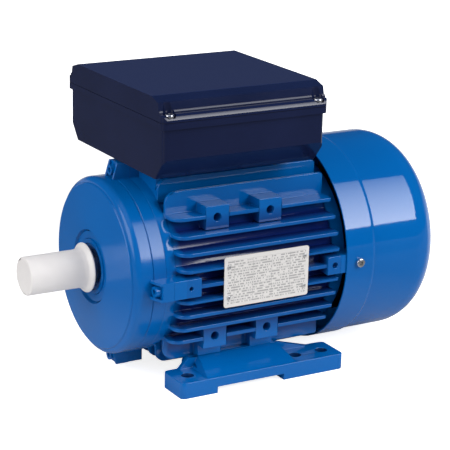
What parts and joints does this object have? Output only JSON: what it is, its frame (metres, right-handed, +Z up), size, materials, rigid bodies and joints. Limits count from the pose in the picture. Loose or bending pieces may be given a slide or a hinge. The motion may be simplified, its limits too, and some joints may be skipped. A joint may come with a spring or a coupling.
{
  "type": "electric motor",
  "caption": "Foot-mounted fan-cooled electric motor: finned blue frame, smooth end shield, rear fan cowl, black capacitor box on top and a sleeved shaft end.",
  "frame": {"origin": "on the foot plane, at the centre of the inner four foot holes", "axes": "+X along the shaft out of the drive end, +Y towards the rating plate, +Z up"},
  "size_m": [0.3432, 0.1917, 0.2397],
  "materials": {
    "blue_paint": "gloss",
    "box_plastic": "satin",
    "black_plastic": "matt",
    "white_plastic": "satin",
    "bright_steel": "ground",
    "zinc_steel": "zinc plated",
    "lamination_steel": "matt",
    "copper_winding": "enamelled",
    "cast_aluminium": "as cast",
    "plate_aluminium": "brushed",
    "brass": "bright",
    "rubber": "matt",
    "switch_board": "matt"
  },
  "bodies": {
    "motor_body": {"stator_frame": "blue_paint", "stator_core": "lamination_steel", "stator_windings": "copper_winding", "de_end_shield": "blue_paint", "nde_end_shield": "blue_paint", "de_shield_screws": "zinc_steel", "nde_shield_screws": "zinc_steel", "shaft_seal": "rubber", "de_bearing_outer": "bright_steel", "nde_bearing_outer": "bright_steel", "preload_washer": "bright_steel", "left_foot": "blue_paint", "right_foot": "blue_paint", "foot_screws": "zinc_steel", "fan_cowl": "blue_paint", "cowl_screws": "zinc_steel", "rating_plate": "plate_aluminium", "plate_rivets": "plate_aluminium", "earth_screw": "brass", "neck_gasket": "rubber", "terminal_box_base": "box_plastic", "box_screws": "zinc_steel", "terminal_block": "black_plastic", "terminal_studs": "brass", "terminal_links": "brass", "start_capacitor": "black_plastic", "run_capacitor": "cast_aluminium", "capacitor_clamps": "bright_steel", "gland_body": "black_plastic", "gland_locknut": "black_plastic", "gland_cap": "black_plastic", "gland_seal": "rubber", "lid_gasket": "rubber", "terminal_box_lid": "box_plastic", "lid_screws": "zinc_steel", "switch_plate": "switch_board", "switch_contacts": "brass"},
    "rotor": {"shaft": "bright_steel", "rotor_core": "lamination_steel", "rotor_cage": "cast_aluminium", "de_bearing_inner": "bright_steel", "nde_bearing_inner": "bright_steel", "fan": "black_plastic", "fan_circlip": "bright_steel", "governor_base": "bright_steel"},
    "de_ball_set": {"de_bearing_balls": "bright_steel", "de_bearing_cage": "brass"},
    "nde_ball_set": {"nde_bearing_balls": "bright_steel", "nde_bearing_cage": "brass"},
    "switch_collar": {"governor_spool": "black_plastic"},
    "flyweight_top": {"governor_weight_top": "bright_steel"},
    "flyweight_bottom": {"governor_weight_bottom": "bright_steel"},
    "sleeve": {"shaft_sleeve": "white_plastic"}
  },
  "joints": [
    {"name": "rotor_spin", "type": "hinge", "parent": "motor_body", "child": "rotor", "pos_m": [0, 0, 0.09], "axis": [1, 0, 0], "continuous": true},
    {"name": "de_ball_spin", "type": "hinge", "parent": "motor_body", "child": "de_ball_set", "pos_m": [0.0785, 0, 0.09], "axis": [1, 0, 0], "continuous": true},
    {"name": "nde_ball_spin", "type": "hinge", "parent": "motor_body", "child": "nde_ball_set", "pos_m": [-0.0955, 0, 0.09], "axis": [1, 0, 0], "continuous": true},
    {"name": "switch_collar_slide", "type": "slide", "parent": "rotor", "child": "switch_collar", "axis": [1, 0, 0], "range_m": [0, 0.003], "stiffness_N_per_m": 1500, "springref_m": -0.003},
    {"name": "flyweight_top_swing", "type": "hinge", "parent": "rotor", "child": "flyweight_top", "pos_m": [-0.079, 0, 0.119], "axis": [0, -1, 0], "range_deg": [0, 17.47]},
    {"name": "flyweight_bottom_swing", "type": "hinge", "parent": "rotor", "child": "flyweight_bottom", "pos_m": [-0.079, 0, 0.061], "axis": [0, 1, 0], "range_deg": [0, 17.47]},
    {"name": "sleeve_pull", "type": "slide", "parent": "rotor", "child": "sleeve", "axis": [1, 0, 0], "range_m": [0, 0.06]}
  ],
  "couplings": [
    {"joint": "de_ball_spin", "follows": "rotor_spin", "ratio": 0.3974},
    {"joint": "nde_ball_spin", "follows": "rotor_spin", "ratio": 0.3974},
    {"joint": "flyweight_top_swing", "follows": "switch_collar_slide", "rad_per_m": 101.56},
    {"joint": "flyweight_bottom_swing", "follows": "switch_collar_slide", "rad_per_m": 101.56}
  ]
}
